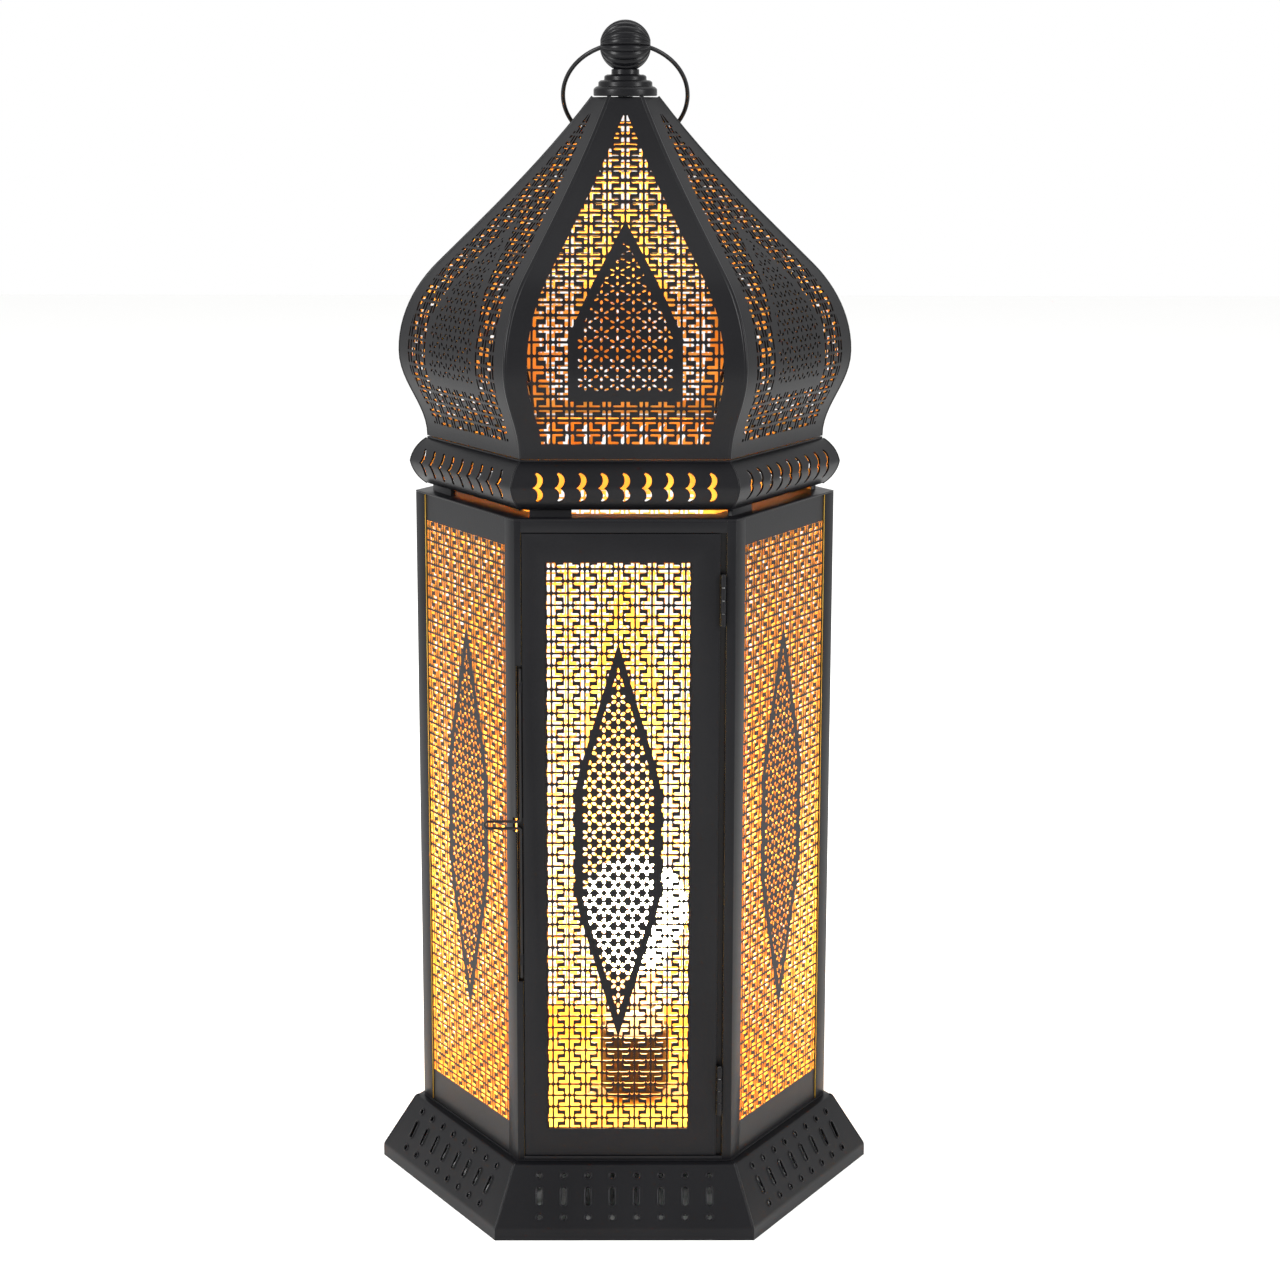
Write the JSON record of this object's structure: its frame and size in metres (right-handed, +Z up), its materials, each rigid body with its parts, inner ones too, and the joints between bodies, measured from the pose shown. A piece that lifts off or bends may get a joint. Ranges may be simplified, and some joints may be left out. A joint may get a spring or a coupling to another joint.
{
  "type": "moroccan metal lantern",
  "caption": "Tall six-sided Moroccan lantern with perforated panels, hinged door, onion dome, carry ring and a bulb on a screw lampholder inside.",
  "frame": {"origin": "centre of the base, on the floor", "axes": "+Z up, door faces -Y, two corners of the hexagon on the X axis"},
  "size_m": [0.28, 0.2424, 0.647],
  "materials": {
    "black_coated_steel": "matt powder coat",
    "perforated_sheet": "matt black outside, gold paint inside",
    "black_turned_steel": "satin powder coat",
    "black_wire": "satin",
    "black_hinge_steel": "satin",
    "zinc_steel": "zinc plated",
    "black_phenolic": "moulded satin",
    "ceramic_white": "glazed",
    "brass_thread": "bright",
    "bulb_cap_metal": "bright",
    "bulb_glass": "clear, lit warm",
    "led_filament": "lit",
    "black_rubber": "matt"
  },
  "bodies": {
    "lantern_body": {"skirt_front": "black_coated_steel", "skirt_front_right": "black_coated_steel", "skirt_rear_right": "black_coated_steel", "skirt_rear": "black_coated_steel", "skirt_rear_left": "black_coated_steel", "skirt_front_left": "black_coated_steel", "floor_plate": "black_coated_steel", "post_front_right": "black_coated_steel", "post_right": "black_coated_steel", "post_rear_right": "black_coated_steel", "post_rear_left": "black_coated_steel", "post_left": "black_coated_steel", "post_front_left": "black_coated_steel", "door_surround": "black_coated_steel", "top_rim": "black_coated_steel", "collar_front": "black_coated_steel", "collar_front_right": "black_coated_steel", "collar_rear_right": "black_coated_steel", "collar_rear": "black_coated_steel", "collar_rear_left": "black_coated_steel", "collar_front_left": "black_coated_steel", "dome_ring": "black_coated_steel", "crown_plate": "black_coated_steel", "panel_front_right": "perforated_sheet", "panel_rear_right": "perforated_sheet", "panel_rear": "perforated_sheet", "panel_rear_left": "perforated_sheet", "panel_front_left": "perforated_sheet", "petal_front": "perforated_sheet", "petal_front_right": "perforated_sheet", "petal_rear_right": "perforated_sheet", "petal_rear": "perforated_sheet", "petal_rear_left": "perforated_sheet", "petal_front_left": "perforated_sheet", "finial_cap": "black_turned_steel", "finial_ball": "black_turned_steel", "hinge_upper_post_leaf": "black_hinge_steel", "hinge_lower_post_leaf": "black_hinge_steel", "hinge_upper_pin": "zinc_steel", "hinge_lower_pin": "zinc_steel", "finial_rod": "zinc_steel", "rod_nut": "zinc_steel", "lampholder_foot": "zinc_steel", "lampholder_screws": "zinc_steel", "lampholder_shell": "black_phenolic", "lampholder_core": "ceramic_white", "lampholder_thread": "brass_thread", "bulb_cap": "bulb_cap_metal", "bulb_glass": "bulb_glass", "bulb_filament": "led_filament", "cable_grommet": "black_rubber"},
    "door": {"door_frame": "black_coated_steel", "door_panel": "perforated_sheet", "hinge_upper_door_leaf": "black_hinge_steel", "hinge_lower_door_leaf": "black_hinge_steel", "latch_eyes": "black_hinge_steel"},
    "latch": {"latch_wire": "black_wire"},
    "carry_ring": {"carry_ring": "black_wire"}
  },
  "joints": [
    {"name": "door_hinge", "type": "hinge", "parent": "lantern_body", "child": "door", "pos_m": [0.0514, -0.10116, 0.2145], "axis": [0, 0, 1], "range_deg": [0, 110]},
    {"name": "latch_pivot", "type": "hinge", "parent": "door", "child": "latch", "pos_m": [-0.0553, -0.09956, 0.227], "axis": [0, 0, 1], "range_deg": [0, 95]},
    {"name": "ring_swing", "type": "hinge", "parent": "lantern_body", "child": "carry_ring", "pos_m": [0, 0, 0.6331], "axis": [1, 0, 0], "range_deg": [0, 290]}
  ]
}
